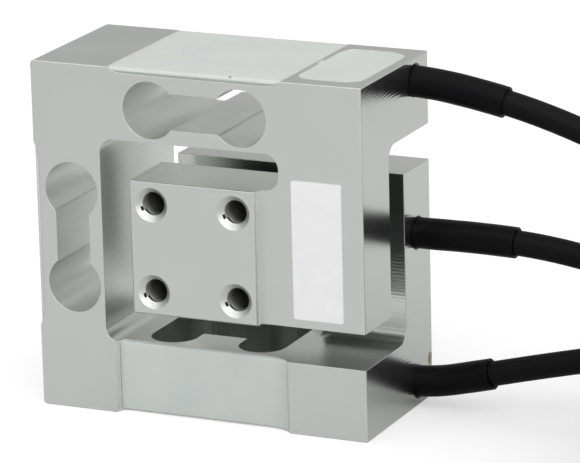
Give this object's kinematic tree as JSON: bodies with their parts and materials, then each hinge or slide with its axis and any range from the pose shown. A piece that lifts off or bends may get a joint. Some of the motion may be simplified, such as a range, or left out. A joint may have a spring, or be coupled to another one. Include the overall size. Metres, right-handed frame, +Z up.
{
  "type": "multi-axis force sensor",
  "caption": "Square aluminium multi-axis force sensor with slotted flexure beams, raised threaded mounting blocks, white silicone over its gauges and a cable per axis.",
  "frame": {"origin": "middle of the body's base", "axes": "+X towards the cables, +Y towards the rear mounting block, +Z up"},
  "size_m": [0.2029, 0.0828, 0.076],
  "materials": {
    "machined_aluminium": "satin milled",
    "white_silicone": "smooth, slightly wavy",
    "gauge_foil": "foil under clear film",
    "circuit_board": "solder mask",
    "heat_shrink": "satin",
    "cable_jacket": "matt",
    "core_insulation": "smooth",
    "nylon_black": "moulded",
    "label_white": "smooth film"
  },
  "bodies": {
    "root": {"coil_ties": "nylon_black", "front_gauge_silicone": "white_silicone", "front_strain_gauges": "gauge_foil", "label": "label_white", "left_gauge_silicone": "white_silicone", "left_strain_gauges": "gauge_foil", "lower_cable": "cable_jacket", "lower_cable_coil": "cable_jacket", "lower_cable_leads": "core_insulation", "lower_cable_sleeve": "heat_shrink", "lower_terminal_board": "circuit_board", "lower_wiring_silicone": "white_silicone", "middle_cable": "cable_jacket", "middle_cable_coil": "cable_jacket", "middle_cable_leads": "core_insulation", "middle_cable_sleeve": "heat_shrink", "middle_terminal_board": "circuit_board", "middle_wiring_silicone": "white_silicone", "rear_gauge_silicone": "white_silicone", "rear_strain_gauges": "gauge_foil", "sensor_body": "machined_aluminium", "top_cable": "cable_jacket", "top_cable_coil": "cable_jacket", "top_cable_leads": "core_insulation", "top_cable_sleeve": "heat_shrink", "top_gauge_silicone": "white_silicone", "top_strain_gauges": "gauge_foil", "top_terminal_board": "circuit_board", "top_wiring_silicone": "white_silicone"}
  },
  "joints": []
}
